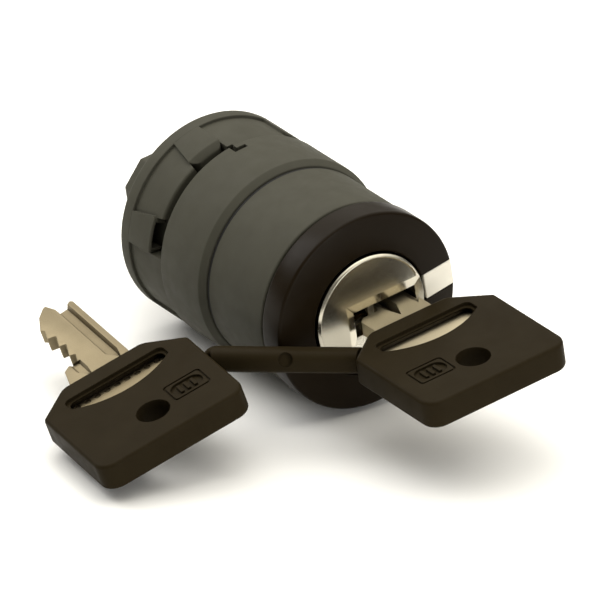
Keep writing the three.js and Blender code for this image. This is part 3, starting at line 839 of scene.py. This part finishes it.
def key_head(name, matrix, body, node, tether_side):
    """A key's plastic head, with its mark on the side where the bridge starts."""
    head = pillow(name, head_outline(), 4.2, 0.55)
    pocket = [(-5.2, 1.5), (-5.2, -2.3), (-8.6, -2.3), (-8.6, -9.6)]
    pocket += [(-x, y) for x, y in reversed(pocket)]
    cut(
        head,
        prism("window", window_outline(), -3, 3),
        prism("upper_ledge", window_outline(0.45), 1.6, 3),
        prism("lower_ledge", window_outline(0.45), -3, -1.6),
        rod("hole", 2.5, -3, 3, "Z", 96, (0, -16.3)),
        prism("pocket", pocket, -1.4, 1.4),
    )
    # A plain frame round a round-ended recess with three ribs, on both faces.
    for face in (-1, 1):
        mark_at = 6.3 * tether_side
        low, high = sorted((face * 1.75, face * 2.6))
        recess = prism("recess", slot_with_round_ends(mark_at, MARK_Y, 1.0, 1.5), low, high)
        for x in (-1.1, 0, 1.1):
            left, right = mark_at + x - 0.25, mark_at + x + 0.25
            rib = block("rib", (left, MARK_Y - 0.9, low - 0.2), (right, MARK_Y + 0.9, high + 0.2))
            cut(recess, rib)
        shallower = face * 0.12
        outer_line = rounded(oblong(mark_at, MARK_Y, 6.0, 4.4, 0.6))
        inner_line = rounded(oblong(mark_at, MARK_Y, 5.4, 3.8, 0.4))
        frame_line = prism("frame", outer_line, low + shallower, high + shallower)
        cut(frame_line, prism("inside", inner_line, -3, 3))
        cut(head, recess, frame_line)
    place(head, matrix)
    return finish_piece(head, KEY_PLASTIC, body, "key_plastic", node, smooth=30)


key_blade(
    "blade_1",
    KEY_METAL,
    KEY_1,
    "key_1",
    "key_1_blade",
    [(-0.6, 1.4, 0.3, 0.7, 1.1, 2.0, 2.8), (3.6, 5.3, 3.87, 0.3, 0.7, 2.9, 2.0)],
    False,
)
# The second blade uses the darker copy of the key nickel: painted shade.
key_blade(
    "blade_2",
    KEY_2_SHADED_METAL,
    KEY_2,
    "key_2",
    "key_2_blade",
    [(2.05, 3.95, 3.4, 0.35, 0.7, 0.8, 2.4), (-2.9, -1.1, -1.5, 0.4, 0.4, 0.3, 2.6, 5.3)],
    True,
)
key_head("head_1", KEY_1, "key_1", "key_1_head", -1)
key_head("head_2", KEY_2, "key_2", "key_2_head", 1)


NECK_R = 0.85
BAR_R = 1.76


def spline(p0, p1, p2, p3, t):
    """A point between p1 and p2 on a smooth curve through four knots."""
    linear = (p2 - p0) * t
    square = (2 * p0 - 5 * p1 + 4 * p2 - p3) * t * t
    cube = (3 * p1 - p0 - 3 * p2 + p3) * t * t * t
    return 0.5 * (2 * p1 + linear + square + cube)


def tether():
    """The moulded bar between the heads, with a thin neck at each end."""
    start = Vector((12.05, -10.0, 0))
    end = Vector((-9.76, -2.50, 0))
    out = Vector((-0.639, 0.769, 0))
    reach = 0.9
    first, second = (KEY_2 @ (v * MM) for v in (start, start + Vector((reach, 0, 0))))
    last, before = (KEY_1 @ (v * MM) for v in (end, end + out * reach))
    points = [first, second]
    for share in (0.25, 0.5, 0.75):
        points.append(second.lerp(before, share) + VIEW_BACK * (1.3 * MM * 4 * share * (1 - share)))
    points += [before, last]
    knots = [Vector(p) / MM for p in points]
    line = []
    for i in range(len(knots) - 1):
        p0, p1 = knots[max(i - 1, 0)], knots[i]
        p2, p3 = knots[i + 1], knots[min(i + 2, len(knots) - 1)]
        for k in range(12):
            line.append(spline(p0, p1, p2, p3, k / 12))
    line.append(knots[-1])
    sizes = []
    for i in range(len(line)):
        share = i / (len(line) - 1)
        left = min(1, max(0, (share - 0.02) / 0.15))
        right = min(1, max(0, (0.985 - share) / 0.1))
        full = min(left, right)
        full = full * full * (3 - 2 * full)
        size = NECK_R + (BAR_R - NECK_R) * full
        sizes.append((size, size))
    bar = sweep("tether", line, sizes)
    middle = line[len(line) // 2]
    dimple = rod("dimple", 1.0, 1.3, 3, "Z", 48)
    facing = VIEW_BACK.to_track_quat("Z", "Y").to_matrix().to_4x4()
    place(dimple, Matrix.Translation(middle * MM) @ facing)
    cut(bar, dimple)
    return finish_piece(bar, KEY_PLASTIC, "tether", "key_plastic", "key_tether", smooth=50)


tether()

# ------------------------------------------------------------------ CAD pieces that are shown as they are

SHOWN = {
    "lock_sleeve": BRASS,
    "detent_ring": NYLON,
    "wafer_spring": STEEL,
    "plug_circlip": STEEL,
    "detent_ball_1": STEEL,
    "detent_ball_2": STEEL,
    "detent_spring_1": STEEL,
    "detent_spring_2": STEEL,
    "wafer_1": BRASS,
    "wafer_2": BRASS,
    "wafer_3": BRASS,
    "wafer_4": BRASS,
}
for name, material in SHOWN.items():
    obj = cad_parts[name]
    obj.data.materials.clear()
    obj.data.materials.append(material)

# ------------------------------------------------------------------ stage, lights and camera

reach = 900
corners = [(-reach, -reach, FLOOR), (reach, -reach, FLOOR), (reach, reach, FLOOR), (-reach, reach, FLOOR)]
floor = make("floor", corners, [(0, 1, 2, 3)])
ground = Nodes("floor")
ground_colour = ground.mix(ground.noise(60, 2), (0.9, 0.9, 0.89), (0.93, 0.93, 0.92))
ground.put(ground.shader.inputs["Base Color"], ground_colour)
ground.put(ground.shader.inputs["Roughness"], 0.9)
ground.put(ground.shader.inputs["Specular IOR Level"], 0.1)
floor.data.materials.append(ground.material)

# A soft dome, bright overhead and dim near the horizon.
world = bpy.data.worlds.new("studio")
world.use_nodes = True
sky = world.node_tree
direction = sky.nodes.new("ShaderNodeTexCoord").outputs["Generated"]
height = sky.nodes.new("ShaderNodeVectorMath")
height.operation = "DOT_PRODUCT"
height.inputs[1].default_value = Vector((0.25, 0.2, 0.95)).normalized()
sky.links.new(direction, height.inputs[0])
strength = sky.nodes.new("ShaderNodeMapRange")
for name, value in {"From Min": 0.42, "From Max": 1.0, "To Min": 0.2, "To Max": 3.0}.items():
    strength.inputs[name].default_value = value
sky.links.new(height.outputs["Value"], strength.inputs["Value"])
sky.nodes["Background"].inputs["Color"].default_value = (1.0, 0.965, 0.88, 1)
sky.links.new(strength.outputs[0], sky.nodes["Background"].inputs["Strength"])
bpy.context.scene.world = world


def soft_light(name, towards, distance, size, power):
    """A square area light that looks back at the object from a direction."""
    data = bpy.data.lights.new(name, "AREA")
    data.shape = "SQUARE"
    data.size = size * MM
    data.energy = power
    obj = bpy.data.objects.new(name, data)
    bpy.context.scene.collection.objects.link(obj)
    direction = Vector(towards).normalized()
    obj.location = direction * distance * MM
    obj.rotation_euler = direction.to_track_quat("Z", "Y").to_euler()
    return obj


soft_light("top", (-0.1, 0.25, 1.0), 500, 420, 0.6)
soft_light("back", (-0.42, 0.75, 0.6), 600, 300, 1.2)
soft_light("front", (0.1, -1.0, 0.1), 500, 300, 1.2)

camera_data = bpy.data.cameras.new("camera")
camera_data.sensor_width = 36
camera_data.lens = 635
camera_data.clip_start = 0.01
camera = bpy.data.objects.new("camera", camera_data)
bpy.context.scene.collection.objects.link(camera)
aim = Vector((-0.18, -2.72, -4.88)) * MM
camera.location = aim + VIEW_BACK.normalized() * 1.5
camera.rotation_euler = VIEW_BACK.to_track_quat("Z", "Y").to_euler()
bpy.context.scene.camera = camera
bpy.context.scene.view_settings.view_transform = "Standard"
